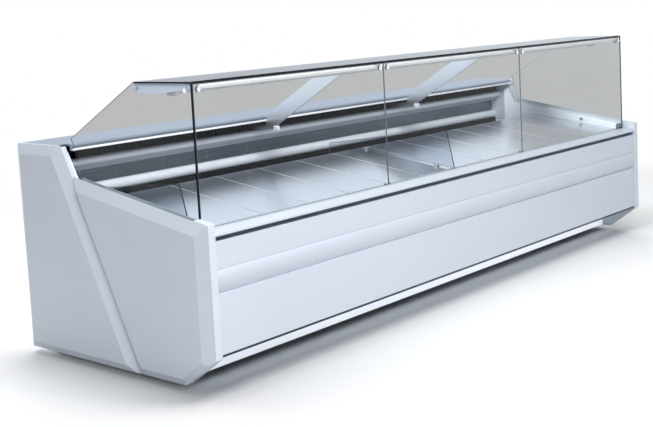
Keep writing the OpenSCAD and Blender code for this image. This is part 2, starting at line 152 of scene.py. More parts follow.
def brushed(name, colour, rough=0.26, change=0.05, along="x", streak=0.07, grain=0.05):
    """Brushed metal: long streaks along one axis, dense across it."""
    stretch = {"x": (1.4, 260, 260), "y": (260, 1.4, 260), "z": (260, 260, 1.4)}[along]
    g = Graph(bpy.data.materials.new(name))
    streaks = g.noise(1, 3, stretch, 0.6)
    cloud = g.noise(1.7, 2)
    faint_cloud = g.node("Math", {0: cloud, 1: 0.4}, operation="MULTIPLY").outputs[0]
    both = g.node(
        "Math", {0: streaks, 1: cloud, 2: faint_cloud}, operation="MULTIPLY_ADD"
    )
    return g.finish(
        g.principled(
            Base_Color=g.shades(both.outputs[0], colour, change),
            Metallic=1.0,
            Roughness=g.spread(streaks, rough - streak / 2, rough + streak / 2),
            Normal=g.bump(streaks, grain, 0.0002),
        )
    )


def plastic(name, colour, rough=0.45, spark=0.12, gloss=0.5):
    """Moulded plastic or rubber with a fine grain; low gloss for the blackest parts."""
    g = Graph(bpy.data.materials.new(name))
    return g.finish(
        g.principled(
            Base_Color=g.shades(g.noise(16, 4), colour, 0.06),
            Specular_IOR_Level=gloss,
            Roughness=g.spread(g.noise(120, 3), rough - 0.06, rough + 0.06),
            Normal=g.bump(g.noise(1500, 2), spark, 0.0002),
        )
    )


def glass(name, tint, wipe=0.01, ior=1.2):
    """Clear glass that lets the lamps through; its tint has faint wiping marks."""
    g = Graph(bpy.data.materials.new(name))
    marks = g.noise(3.5, 4, (1, 1, 0.35))
    clear = g.principled(
        Base_Color=g.shades(marks, tint, wipe),
        Roughness=0.0,
        IOR=ior,
        Transmission_Weight=1.0,
    )
    shadow = g.node("BsdfTransparent", {"Color": (0.93, 0.95, 0.95, 1)}).outputs[0]
    path = g.node("LightPath").outputs["Is Shadow Ray"]
    return g.finish(
        g.node("MixShader", {0: path, 1: clear, 2: shadow}).outputs[0]
    )


def lamp(name, colour, power):
    """An opal diffuser with a soft glow."""
    g = Graph(bpy.data.materials.new(name))
    return g.finish(
        g.principled(
            Base_Color=g.shades(g.noise(60, 3), colour, 0.02),
            Roughness=g.spread(g.noise(90, 2), 0.3, 0.42),
            Normal=g.bump(g.noise(700, 1), 0.05, 0.0003),
            Emission_Color=(*colour, 1),
            Emission_Strength=power,
        )
    )


# The white parts share one white, shaded apart to balance the light: WHITE, on the front panels,
# is a darker copy, painted shade where the lamps fall strongest; the liners', duct rails', canopy
# lip's and glass channels' whites are lighter copies, painted light where they stand in shade or
# behind glass.
WHITE = (0.545, 0.595, 0.675)
M = {
    "panel": paint("panel_white", WHITE),
    # Lighter than the panels' white: painted light on the kick plate, which stands in the shade
    # under the front panels.
    "kick": paint("kick_white_painted_light", (0.86, 0.90, 0.96)),
    "skin": paint("door_skin_white", (0.66, 0.71, 0.79), rough=0.3),
    "moulding": paint("moulded_end", (0.59, 0.64, 0.72), rough=0.42, coat=0.1, peel=0.06),
    # Lighter white: painted light on the liners, which stand in shade inside the case.
    "liner": paint("liner_white", (0.78, 0.84, 0.90), rough=0.3, coat=0.3),
    "deck": brushed(
        "satin_deck", (0.64, 0.68, 0.75), rough=0.2, change=0.03, along="y", streak=0.05
    ),
    "joint": brushed("deck_joint", (0.95, 0.96, 0.97), rough=0.4, change=0.02),
    "sheet": brushed("brushed_sheet", (0.62, 0.67, 0.74), rough=0.28),
    "worktop": brushed("brushed_worktop", (0.34, 0.39, 0.47), rough=0.4, change=0.05),
    # Dark steel: painted shade of the recess that the duct's back plate lines.
    "duct": brushed("duct_sheet_painted_shade", (0.20, 0.23, 0.27), rough=0.3, change=0.08),
    # Lighter white: painted light on the duct rails, deep inside the case.
    "rail": paint("duct_rail", (0.80, 0.84, 0.90), rough=0.2, coat=0.6, peel=0.02),
    "frame": brushed("galvanised_frame", (0.50, 0.53, 0.57), rough=0.42, change=0.12, grain=0.1),
    "canopy": brushed("canopy_aluminium", (0.17, 0.21, 0.26), rough=0.3, change=0.14, streak=0.1),
    "support": brushed("support_steel", (0.78, 0.81, 0.86), rough=0.32, along="y"),
    # Lighter white: painted light on the canopy lip, seen through the glass.
    "lip": paint("lip_white", (0.92, 0.94, 0.96), rough=0.3),
    "cap": paint("canopy_cap", (0.66, 0.74, 0.88), rough=0.3),
    "chrome": brushed("polished_bolt", (0.88, 0.90, 0.92), rough=0.16, change=0.03, streak=0.04),
    "knob": brushed("knob_steel", (0.36, 0.39, 0.44), rough=0.3, change=0.05),
    # Lighter than the panels' white: painted light on the channels, in the shaded gap beside the
    # glass.
    "channel": paint("glass_channel", (0.70, 0.76, 0.84), rough=0.3),
    "glass": glass("pane_glass", (0.975, 0.985, 0.985)),
    "shelf": glass("shelf_glass", (0.50, 0.62, 0.76), 0.05, 1.04),
    "acrylic": glass("divider_acrylic", (0.72, 0.77, 0.82)),
    # Near-black: for the corner seals, and painted shade along the shelf's and the dividers'
    # glass edges.
    "edge": plastic("glass_edge_dark", (0.008, 0.011, 0.016), rough=0.3, spark=0.03, gloss=0.15),
    # Dark grey: for the shelf's joint seals and the corner blocks, and painted shade along the
    # glass edges.
    "soft_edge": plastic("glass_edge_grey", (0.12, 0.15, 0.17), rough=0.25, spark=0.03),
    "seam": plastic("deck_seam", (0.16, 0.18, 0.21), rough=0.5),
    "groove": plastic("panel_groove", (0.36, 0.39, 0.45), rough=0.5),
    # Near-black: painted shade in the duct's deep air slots.
    "slot": plastic("slot_shade_black", (0.006, 0.007, 0.010), rough=0.6, gloss=0.05),
    "black": plastic("black_trim", (0.02, 0.022, 0.028)),
    "rubber": plastic("grey_rubber", (0.09, 0.095, 0.105), rough=0.7, spark=0.25),
    # Dark grey: painted shade on the ribs in the recess under the sill.
    "rib": plastic("strip_rib", (0.22, 0.25, 0.30), rough=0.55, spark=0.2),
    # Near-black: painted shade on the shadow strips.
    "strip": plastic("strip_painted_shade", (0.05, 0.055, 0.07), rough=0.5, gloss=0.2),
    "unit": plastic("unit_black", (0.025, 0.027, 0.03), rough=0.4, spark=0.3),
    "fan": plastic("fan_plastic", (0.05, 0.055, 0.06), rough=0.4),
    "screen": plastic("display_screen", (0.03, 0.006, 0.006), rough=0.12, spark=0.02),
    "switch": plastic("switch_white", (0.78, 0.79, 0.80), rough=0.35, spark=0.08),
    "fins": brushed("coil_fins", (0.72, 0.74, 0.76), rough=0.4, along="z", change=0.08),
    "copper": brushed("copper_pipe", (0.72, 0.36, 0.20), rough=0.3, change=0.12),
    "lamp": lamp("lamp_diffuser", (0.80, 0.83, 0.86), 0.05),
    "led": lamp("status_light", (0.10, 0.55, 0.16), 1.5),
}

STORAGE_DOORS = [f"storage_door_{i}" for i in range(1, 5)]
NODE_MATERIALS = {
    "kick": "kick_plate",
    "panel": "front_sill front_upper_panel bumper_rail front_lower_panel rear_grille "
    + " ".join(STORAGE_DOORS),
    "moulding": "left_end_panel right_end_panel duct_rail_end_caps",
    "liner": "end_liners tub storage_front_wall unit_bulkhead",
    # The shadow strips are near-black: painted shade under the sill and under the lower front
    # panel.
    "strip": "shadow_strips",
    "black": "levelling_feet control_box power_gland drain_pipe",
    "deck": "deck_plates",
    "sheet": "rear_upper_panel",
    "worktop": "worktop",
    "duct": "duct_back_plate",
    "rail": "upper_duct_rail lower_duct_rail",
    "frame": "base_rails base_crossmembers base_floor rear_posts rear_rails",
    "canopy": "canopy_profile",
    "lip": "canopy_lip",
    "cap": "canopy_end_caps",
    "support": "canopy_supports",
    "chrome": "door_hinge_pins pane_hinge_pins "
    "pane_clamps_left pane_clamps_middle pane_clamps_right",
    "channel": "side_glass_channels",
    "glass": "side_glasses front_glass_left front_glass_middle front_glass_right",
    "shelf": "shelf_glass",
    "acrylic": "deck_dividers",
    "fins": "evaporator condenser",
    "fan": "evaporator_fan_left evaporator_fan_right condenser_fan",
    "unit": "compressor condenser_fan_motor evaporator_fan_motors",
    "switch": "light_switch defrost_button",
    "lamp": "canopy_lamp",
}
for key, names in NODE_MATERIALS.items():
    for node_name in names.split():
        for material_slot in nodes[node_name].material_slots:
            material_slot.material = M[key]

# Radii, in mm, of the folded and moulded edges that show. The end panels'
# relief is shallow, so its edges are rounded from a smaller angle on.
RELIEF_ANGLE, FOLD_ANGLE = 9, 24
ROUNDED = {
    "left_end_panel": 2.5,
    "right_end_panel": 2.5,
    "front_sill": 1.2,
    "front_upper_panel": 1.0,
    "front_lower_panel": 1.0,
    "kick_plate": 1.0,
    "worktop": 1.2,
    "end_liners": 1.0,
    "canopy_lip": 0.8,
    "canopy_end_caps": 1.0,
    "canopy_supports": 0.8,
    "duct_rail_end_caps": 1.0,
    "control_box": 1.5,
    **dict.fromkeys(STORAGE_DOORS, 1.2),
    "rear_upper_panel": 1.0,
    "light_switch": 0.8,
    "defrost_button": 0.8,
    "compressor": 2.0,
}
for node_name, width in ROUNDED.items():
    o = nodes[node_name]
    weld = o.modifiers.new("weld", "WELD")
    weld.merge_threshold = 0.02 * MM
    bevel = o.modifiers.new("bevel", "BEVEL")
    bevel.width = width * MM
    bevel.segments = 3
    bevel.limit_method = "ANGLE"
    bevel.angle_limit = math.radians(
        RELIEF_ANGLE if "end_panel" in node_name else FOLD_ANGLE
    )
    bevel.use_clamp_overlap = True
    weighted = o.modifiers.new("weighted", "WEIGHTED_NORMAL")
    weighted.keep_sharp = False

# ---------------------------------------------------------------- detail pieces
# Shapes are drawn in the millimetres that at() takes and ride on the CAD's bodies.

CABINET = "cabinet"
ROUNDED_FROM, SHARP_FROM = math.radians(30), math.radians(32)  # angles between faces


def box_shape(bm, x, y, z):
    """A box between two limits on each axis."""
    bmesh.ops.create_cube(
        bm,
        size=1,
        matrix=Matrix.Translation([(a + b) / 2 for a, b in (x, y, z)])
        @ Matrix.Diagonal([b - a for a, b in (x, y, z)] + [1]),
    )


def rim(bm, x, y, z, side, end=None):
    """A rectangular frame inside two limits on each axis: side is the width of
    its uprights, end that of its top and bottom."""
    (x0, x1), (z0, z1), end = x, z, end or side
    box_shape(bm, (x0, x0 + side), y, z)
    box_shape(bm, (x1 - side, x1), y, z)
    box_shape(bm, (x0 + side, x1 - side), y, (z0, z0 + end))
    box_shape(bm, (x0 + side, x1 - side), y, (z1 - end, z1))


def spaced(start, stop, count):
    """Evenly spaced values, with both ends among them."""
    return [start + (stop - start) * i / (count - 1) for i in range(count)]


def circle(steps):
    """(cosine, sine) of evenly spaced angles around a turn."""
    return [
        (math.cos(math.tau * k / steps), math.sin(math.tau * k / steps))
        for k in range(steps)
    ]


def prism(bm, outline, x0, x1):
    """A (y, z) outline run along X."""
    rings = [[bm.verts.new((x, y, z)) for y, z in outline] for x in (x0, x1)]
    bm.faces.new(rings[0])
    bm.faces.new(list(reversed(rings[1])))
    n = len(outline)
    for i in range(n):
        j = (i + 1) % n
        bm.faces.new((rings[0][j], rings[0][i], rings[1][i], rings[1][j]))


def lathe(bm, profile, centre, axis, steps=24):
    """Turns (radius, height) points around an axis through centre; radius 0 closes an end."""
    turn = Vector((0, 0, 1)).rotation_difference(Vector(axis)).to_matrix()
    rings = []
    for r, h in profile:
        around = circle(steps) if r else [(1, 0)]
        rings.append(
            [
                bm.verts.new(turn @ Vector((r * c, r * s, h)) + Vector(centre))
                for c, s in around
            ]
        )
    for a, b in zip(rings, rings[1:]):
        for k in range(steps):
            m = (k + 1) % steps
            face = [a[k % len(a)], a[m % len(a)], b[m % len(b)], b[k % len(b)]]
            unique = list(dict.fromkeys(face))
            if len(unique) > 2:
                bm.faces.new(unique)


def tube(bm, path, r, steps=10):
    """A round tube along a path of points, with flat ends."""
    points = [Vector(p) for p in path]
    rings = []
    guide = None
    for i, p in enumerate(points):
        ahead = (points[min(i + 1, len(points) - 1)] - points[max(i - 1, 0)]).normalized()
        if guide is None:
            guide = ahead.orthogonal().normalized()
        guide = (guide - ahead * guide.dot(ahead)).normalized()
        across = ahead.cross(guide)
        rings.append(
            [bm.verts.new(p + r * (c * guide + s * across)) for c, s in circle(steps)]
        )
    for a, b in zip(rings, rings[1:]):
        for k in range(steps):
            m = (k + 1) % steps
            bm.faces.new((a[k], a[m], b[m], b[k]))
    bm.faces.new(list(reversed(rings[0])))
    bm.faces.new(rings[-1])


def both_sides(inner, outer):
    """X limits near the left end and near the right one, from distances off the middle."""
    return (-outer, -inner), (inner, outer)


def piece(name, draw, material, body=CABINET, edge=0.0, segments=2):
    """Makes an object from what draw(bm) adds, rounds its edges by edge mm and
    lets it ride on a body."""
    bm = bmesh.new()
    draw(bm)
    bmesh.ops.recalc_face_normals(bm, faces=bm.faces)
    if edge:
        sharp = [
            e
            for e in bm.edges
            if len(e.link_faces) == 2 and e.calc_face_angle() > ROUNDED_FROM
        ]
        bmesh.ops.bevel(
            bm,
            geom=sharp,
            offset=edge,
            offset_type="OFFSET",
            segments=segments,
            profile=0.5,
            affect="EDGES",
            clamp_overlap=True,
        )
    for v in bm.verts:
        v.co = at(*v.co)
    mesh = bpy.data.meshes.new(name)
    bm.to_mesh(mesh)
    bm.free()
    mesh.materials.append(M[material])
    mesh.shade_smooth()
    mesh.set_sharp_from_angle(angle=SHARP_FROM)
    o = bpy.data.objects.new(name, mesh)
    bpy.context.scene.collection.objects.link(o)
    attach(o, body)


def dome(bm, centre, axis, r, height, washer=0.0):
    """A domed bolt head, on a washer if one is asked for."""
    base = 0.0
    if washer:
        base = 1.2
        ring = [(0, 0), (washer, 0), (washer, 0.8), (washer - 0.5, base), (0, base)]
        lathe(bm, ring, centre, axis)
    curve = [
        (r * math.cos(a), base + 0.3 * height + 0.7 * height * math.sin(a))
        for a in (math.radians(15 * k) for k in range(6))
    ]
    lathe(bm, [(0, base - 0.3), (r, base - 0.3)] + curve + [(0, base + height)], centre, axis)


def hex_head(bm, centre, axis, r, height):
    """A hexagon nut with chamfered corners."""
    profile = [(0, 0), (r, 0), (r, height * 0.8), (r * 0.9, height), (0, height)]
    lathe(bm, profile, centre, axis, 6)


# --- front glazing

glass_lo = local("front_glass_left")[0]
shelf_hi = local("shelf_glass")[1]


def corner_seals(bm):
    """Dark seals up the corners between the front panes and the side glasses."""
    for x in both_sides(SIDE_X - 0.8, HALF_IN):
        box_shape(bm, x, (glass_lo.y - 1.4, 1), (glass_lo.z - 2, shelf_hi.z - 8))


piece("corner_seals", corner_seals, "edge", edge=1.2)


# Near-black strips along the shelf glass's front edge and its ends: painted shade, the dark look
# that light through the glass gives its edges.
def shelf_front_edge_shade(bm):
    reach = SIDE_X - 0.6
    box_shape(bm, (-reach, reach), (9.2, 10.4), (shelf_hi.z - 12.6, shelf_hi.z))


piece("shelf_front_edge_shade", shelf_front_edge_shade, "edge", edge=0.4)


def shelf_end_edge_shade(bm):
    for x in both_sides(SIDE_X - 0.4, HALF_IN - 0.1):
        box_shape(bm, x, (-4, shelf_hi.y), (shelf_hi.z - 7.4, shelf_hi.z))


piece("shelf_end_edge_shade", shelf_end_edge_shade, "edge", edge=1.0)


def shelf_joints(bm):
    for x in JOINTS_X:
        z = (shelf_hi.z - 7, shelf_hi.z - 0.4)
        box_shape(bm, (x - 0.9, x + 0.9), (11, shelf_hi.y - 1), z)


piece("shelf_joint_seals", shelf_joints, "soft_edge", edge=0.3)

PANE_BOLT_Z = 1230
PANE_BOLT_INSET = 28  # from a pane's upright edge
SIDE_BOLT_YZ = (36, 1226)
CAP_SCREW_YZ = (336, 1233)


def pane_pieces(bay):
    """The edges and bolt heads that tip up with one front pane; the edges' dark grey is painted
    shade, the dark look that light through the glass gives them.
    """
    lo, hi = local(f"front_glass_{bay}")
    proud, inner = 0.25, 1.1

    def ground_edge_shade(bm):
        rim(
            bm,
            (lo.x - proud, hi.x + proud),
            (lo.y - 0.2, hi.y + 0.2),
            (lo.z - proud, hi.z + proud),
            proud + inner,
        )

    def bolts(bm):
        for x in (lo.x + PANE_BOLT_INSET, hi.x - PANE_BOLT_INSET):
            dome(bm, (x, lo.y - 3, PANE_BOLT_Z), (0, -1, 0), 9.4, 4.6, washer=11.5)

    body = f"front_pane_{bay}"
    piece(f"pane_edge_shade_{bay}", ground_edge_shade, "soft_edge", body, edge=0.3)
    piece(f"pane_bolt_heads_{bay}", bolts, "chrome", body)


for pane_bay in BAYS:
    pane_pieces(pane_bay)


def side_bolts(bm):
    """A bolt through each side glass, with its nut inside."""
    for s in (-1, 1):
        dome(bm, (s * HALF_IN, *SIDE_BOLT_YZ), (s, 0, 0), 8.6, 4.2, washer=10.8)
        nut = [(0, 0), (5.2, 0), (5.2, 3.2), (4.2, 4), (0, 4)]
        lathe(bm, nut, (s * SIDE_X, *SIDE_BOLT_YZ), (-s, 0, 0), 6)


piece("side_glass_bolts", side_bolts, "chrome")


def cap_screws(bm):
    for s in (-1, 1):
        dome(bm, (s * HALF_IN, *CAP_SCREW_YZ), (s, 0, 0), 4.6, 2.6, washer=6)


piece("canopy_cap_screws", cap_screws, "knob")


def corner_blocks(bm):
    """Blocks at the feet of the glass corners, inside them."""
    for x in both_sides(SIDE_X - 17, SIDE_X - 1.2):
        box_shape(bm, x, (2, 26), (658, 690))


piece("glass_corner_blocks", corner_blocks, "soft_edge", edge=2.5, segments=3)


def side_glass_edges(bm):
    """Dark grey strips up the rear edges of the side glasses, just proud of the glass: painted
    shade, the dark look that light through the glass gives its ground edges.
    """
    skin, depth = 0.22, 1.1
    run = [(804, 966), (822, 1003), (shelf_hi.y, shelf_hi.z - 0.4)]
    for x in both_sides(SIDE_X - 0.2, HALF_IN + 0.2):
        for a, b in zip(map(Vector, run), map(Vector, run[1:])):
            out = Vector((a.y - b.y, b.x - a.x)).normalized()
            near, far = out * skin, out * depth
            prism(bm, [tuple(p) for p in (a + near, b + near, b + far, a + far)], *x)


piece("side_glass_edge_shade", side_glass_edges, "soft_edge")


def support_feet(bm):
    """Blocks on the rear rail that the canopy supports' feet stand in."""
    for x in JOINTS_X:
        box_shape(bm, (x - 9, x + 9), (716, 748), (899, 926))


piece("support_foot_blocks", support_feet, "lip", edge=3, segments=3)


def support_caps(bm):
    """Screws up into the canopy, and through each support's foot from both sides."""
    for x in JOINTS_X:
        for y, z in ((300, 1208.5), (340, 1210.8)):
            dome(bm, (x, y, z), (0, 0, -1), 3.6, 2.2)
        for s in (-1, 1):
            for y in (965, 978):
                dome(bm, (x + s * 4, y, 915), (s, 0, 0), 3.2, 2)


piece("support_screws", support_caps, "chrome")


def pane_stops(bm):
    """Rubber stops in pairs, which the panes' feet rest against."""
    for middle in (*JOINTS_X, -HALF_IN + 34, HALF_IN - 34):
        for x in (middle - 16, middle + 16):
            box_shape(bm, (x - 6, x + 6), (2.5, 9), (656.8, 665))


piece("pane_stops", pane_stops, "rubber", edge=1.6, segments=3)

# --- display deck and rear duct

liner_x = local("end_liners")[1].x - 6
duct_y = local("duct_back_plate")[0].y
deck_lo, deck_hi = local("deck_plates")
DECK_FRONT = (deck_lo.y, 651)
DECK_RIDGE = (640, deck_hi.z)
DECK_REAR = (deck_hi.y, 688)
DECK_PITCH = 293  # between the joints of its plates
DECK_JOINTS = range(-6, 7)
DIVIDER_REAR = (868, 760)
# Of each divider: x of its plate, foot and head of its front edge, y of its clips
DIVIDERS = (
    (-1798, (150, 676), (192, 824), (200, 600)),
    (-48, (4, 658), (48, 862), (120, 600)),
)
UPPER_SLOT_Z, LOWER_SLOT_Z = (897, 945), (671, 707)
SLOT_BACK = duct_y - 0.3


def deck_z(y):
    """Height of the deck's upper face, which rises to the ridge and falls behind it."""
    a, b = (DECK_FRONT, DECK_RIDGE) if y < DECK_RIDGE[0] else (DECK_RIDGE, DECK_REAR)
    return a[1] + (b[1] - a[1]) * (y - a[0]) / (b[0] - a[0])


def deck_joints(bm):
    half, sunk, proud = 2.4, 0.6, 0.7
    for i in DECK_JOINTS:
        x = i * DECK_PITCH
        for y0, y1 in ((deck_lo.y + 4, DECK_RIDGE[0]), (DECK_RIDGE[0], deck_hi.y - 3)):
            z0, z1 = deck_z(y0), deck_z(y1)
            strip = [(y0, z0 - sunk), (y1, z1 - sunk), (y1, z1 + proud), (y0, z0 + proud)]
            prism(bm, strip, x - half, x + half)


piece("deck_joint_strips", deck_joints, "joint", edge=0.4)


def deck_front_seam(bm):
    box_shape(bm, (-liner_x + 1, liner_x - 1), (22.6, 25.7), (650, 657.5))


piece("deck_front_seam", deck_front_seam, "seam", edge=0.5)


def lengths(end, gap):
    """(start, stop) of three lengths from -end to end, with a gap on each side of a joint."""
    stops = [-end, *(x + s * gap for x in JOINTS_X for s in (-1, 1)), end]
    return list(zip(stops[::2], stops[1::2]))


# A white strip along the worktop's nose: a painted highlight on its fold.
def worktop_nose_highlight(bm):
    front = local("worktop")[0].y
    for x in lengths(SIDE_X - 2, 1):
        box_shape(bm, x, (front - 1, front + 3), (946.6, 957))


piece("worktop_nose_highlight", worktop_nose_highlight, "lip", edge=0.8, segments=3)


def slot_liners(bm):
    """Near-black linings in the duct's two air slots, painted shade that makes the slots look
    deep.
    """
    end = liner_x - 9
    for x in lengths(end, 5):
        box_shape(bm, x, (936, SLOT_BACK), UPPER_SLOT_Z)
    box_shape(bm, (-end, end), (952, SLOT_BACK), LOWER_SLOT_Z)


piece("duct_slot_shade_linings", slot_liners, "slot", edge=1.5)


# The vanes share the slots' near-black, painted shade deep in the slot.
def slot_vanes(bm):
    z = (UPPER_SLOT_Z[0] + 2, UPPER_SLOT_Z[1] - 2)
    for x in spaced(-liner_x + 30, liner_x - 30, 74):
        if min(abs(x - j) for j in JOINTS_X) > 9:
            box_shape(bm, (x - 1, x + 1), (930, 936.5), z)


piece("duct_slot_vanes", slot_vanes, "slot", edge=0.3)


def duct_seams(bm):
    for x in JOINTS_X:
        box_shape(bm, (x - 1.2, x + 1.2), (duct_y - 1.2, duct_y + 0.2), (770, 830))


piece("duct_plate_seams", duct_seams, "seam", edge=0.3)


def duct_screws(bm):
    """Two rows along the duct's back plate, and three in each of the rails' end caps."""
    for x in spaced(-HALF_IN + 75, HALF_IN - 75, 13):
        for z in (785, 812):
            dome(bm, (x, duct_y, z), (0, -1, 0), 3.4, 1.8)
    for s in (-1, 1):
        for y, z in ((902, 814), (905, 796), (905, 755)):
            dome(bm, (s * (liner_x - 8), y, z), (-s, 0, 0), 4.2, 2.4)


piece("duct_screws", duct_screws, "chrome")


def liner_knobs(bm):
    """A round knob on the inner face of each end liner."""
    knob = [(0, 0), (10, 0), (10, 5), (8.6, 8), (5, 9), (0, 9.2)]
    for s in (-1, 1):
        lathe(bm, knob, (s * liner_x, 284, 712), (-s, 0, 0))


piece("liner_knobs", liner_knobs, "knob")


def divider_clips(bm):
    """A clip on each side of a divider, in two places along it."""
    for divider_x, _, _, places in DIVIDERS:
        for y in places:
            z = deck_z(y)
            for x in (divider_x - 5, divider_x + 5):
                box_shape(bm, (x - 2.6, x + 2.6), (y - 14, y + 14), (z - 1, z + 11))


piece("divider_clips", divider_clips, "chrome", edge=1.0)


def divider_edge_shade(bm):
    """Near-black strips up the front and along the top of the clear dividers: painted shade, the
    dark look that light through the acrylic gives its polished edges.
    """
    half_width, half_depth = 2.4, 1.1
    for x, foot, head, _ in DIVIDERS:
        for a, b in ((foot, head), (head, DIVIDER_REAR)):
            a, b = Vector(a), Vector(b)
            n = Vector((b.y - a.y, a.x - b.x)).normalized() * half_depth
            outline = [tuple(p) for p in (a - n, b - n, b + n, a + n)]
            prism(bm, outline, x - half_width, x + half_width)


piece("divider_edge_shade", divider_edge_shade, "edge")

# --- front panels

front_y = local("front_upper_panel")[0].y
FEET_X, FEET_Y = (-1780, -600, 600, 1780), (262, 1060)


def front_seams(bm):
    """Grooves over and under the bumper; its lower edge is tucked in behind the panel."""
    x = (-HALF_IN + 1.5, HALF_IN - 1.5)
    box_shape(bm, x, (front_y - 0.35, front_y + 14), (499.3, 502.6))
    box_shape(bm, x, (front_y + 10.5, front_y + 16), (399.8, 401.2))


piece("front_panel_seams", front_seams, "groove", edge=0.15)


def strip_ribs(bm):
    """Ribs along the recessed strip under the sill, in dark grey as painted shade of the recess.
    """
    x, y = (-HALF_IN + 2, HALF_IN - 2), (front_y + 19.5, front_y + 23)
    for z in (619, 624, 629, 634):
        box_shape(bm, x, y, (z - 1.2, z + 1.2))


piece("shadow_strip_ribs", strip_ribs, "rib", edge=0.7)


def kick_screws(bm):
    y = local("kick_plate")[0].y
    for x in spaced(-HALF_IN + 150, HALF_IN - 150, 10):
        dome(bm, (x, y, 120), (0, -1, 0), 5, 2.6, washer=7)


piece("kick_plate_screws", kick_screws, "chrome")


def feet_threads(bm):
    """A locking nut and the threaded stem above it at each foot."""
    start, pitch = -9, 1.2
    ridges = [(8 if k % 2 else 6.6, start + pitch * k) for k in range(8)]
    for x in FEET_X:
        for y in FEET_Y:
            hex_head(bm, (x, y, -16), (0, 0, 1), 13, 7)
            lathe(bm, [(0, start), *ridges, (0, 0.2)], (x, y, 0), (0, 0, 1), 16)


piece("feet_nuts", feet_threads, "chrome")

# --- operator's side


def door_pieces(number, node):
    """The gasket, outer skin, grip caps and screws that swing with one storage door."""
    lo, hi = local(node)
    face = hi.y - 26  # the leaf's outer face, which the grip stands on
    gasket_w, gasket_y = 9, (face - 33.4, face - 30)

    def gasket(bm):
        # A lip on a wider bead
        for step, grow in ((0, 0), (0.9, 3)):
            a = grow / 2
            rim(
                bm,
                (lo.x + 34 - a, hi.x - 14 + a),
                (gasket_y[0] + step, gasket_y[1]),
                (lo.z + 14 - a, hi.z - 18 + a),
                gasket_w + grow,
            )

    def skin(bm):
        z = (lo.z + 12, hi.z - 12)
        box_shape(bm, (lo.x + 30, hi.x - 58), (face - 0.5, face + 1.6), z)

    def grip_caps(bm):
        x = hi.x - 37
        for z in (176, 393):
            box_shape(bm, (x - 15, x + 15), (face - 1, face + 25.5), (z, z + 4))

    def screws(bm):
        for z in (lo.z + 24, lo.z + 44, hi.z - 44, hi.z - 24):
            dome(bm, (lo.x + 22, face, z), (0, 1, 0), 3.6, 2)
        for z in (200, 372):
            dome(bm, (hi.x - 54, face, z), (0, 1, 0), 3.2, 1.8)

    for name, draw, material, slot, edge, segments in (
        ("door_gasket", gasket, "rubber", "black_trim", 0.6, 2),
        ("door_skin", skin, "skin", "panel_white", 0.9, 3),
        ("door_grip_caps", grip_caps, "rubber", "black_trim", 1.6, 3),
        ("door_screws", screws, "chrome", "hardware_steel", 0, 2),
    ):
        body = f"door_{number}"
        piece(f"{name}_{number}", draw, material, body, edge, segments)


for door_number, door_node in enumerate(STORAGE_DOORS, 1):
    door_pieces(door_number, door_node)

CONTROL_X, CONTROL_Z = 1120, 745
control_y = local("control_box")[1].y
panel_lo, panel_hi = local("rear_upper_panel")


def rear_rivets(bm):
    """Two rows of rivets; the control box hides some of the upper row."""
    low, high = panel_lo.z + 14, panel_hi.z - 42
    for x in spaced(-HALF_IN + 60, HALF_IN - 60, 19):
        rows = (low, high) if abs(x - CONTROL_X) > 130 else (low,)
        for z in rows:
            dome(bm, (x, panel_hi.y, z), (0, 1, 0), 4, 1.9)


piece("rear_panel_rivets", rear_rivets, "chrome")


def rear_straps(bm):
    y, z = (panel_hi.y - 0.3, panel_hi.y + 1.5), (panel_lo.z + 4, panel_hi.z - 34)
    for x in JOINTS_X:
        box_shape(bm, (x - 14, x + 14), y, z)


piece("rear_panel_straps", rear_straps, "sheet", edge=0.6)


def louvres(bm):
    """Two fields of pressed louvres, each two louvres wide and seven high."""
    length, pitch_x, pitch_z = 110, 130, 16
    section = [(-0.4, 7), (1.2, 6), (4.6, 0), (4.2, -0.8), (-0.4, 0)]
    for field_x in (-1500, -260):
        for row in range(7):
            z = 800 + row * pitch_z
            outline = [(panel_hi.y + out, z + up) for out, up in section]
            for column in range(2):
                x = field_x + column * pitch_x
                prism(bm, outline, x, x + length)


piece("rear_panel_louvres", louvres, "sheet", edge=0.4)

# --- controls

SWITCH_X = CONTROL_X - 70
CONTROL_HALF_H = 21  # of the display's bezel and the switch's frame


def control_trim(bm):
    rim(
        bm,
        (CONTROL_X - 38, CONTROL_X + 48),
        (control_y - 0.4, control_y + 1.6),
        (CONTROL_Z - CONTROL_HALF_H, CONTROL_Z + CONTROL_HALF_H),
        4.5,
    )


def control_window(bm):
    x, z = (CONTROL_X - 33, CONTROL_X + 43), (CONTROL_Z - 16.4, CONTROL_Z + 16.4)
    box_shape(bm, x, (control_y - 2.2, control_y - 0.6), z)


def control_digits(bm):
    """The lit bars of three seven-segment digits, read from the operator's side."""
    z, y = CONTROL_Z, (control_y - 0.8, control_y - 0.4)
    for k, lit in enumerate(("abged", "abcdefg", "abc")):
        cx = CONTROL_X - 14 + k * 17
        bars = {
            "a": (cx - 4, cx + 4, z + 9, z + 11),
            "g": (cx - 4, cx + 4, z - 1, z + 1),
            "d": (cx - 4, cx + 4, z - 11, z - 9),
            "b": (cx - 6, cx - 4.2, z + 1.5, z + 9),
            "f": (cx + 4.2, cx + 6, z + 1.5, z + 9),
            "c": (cx - 6, cx - 4.2, z - 9, z - 1.5),
            "e": (cx + 4.2, cx + 6, z - 9, z - 1.5),
        }
        for segment in lit:
            x0, x1, z0, z1 = bars[segment]
            box_shape(bm, (x0, x1), y, (z0, z1))


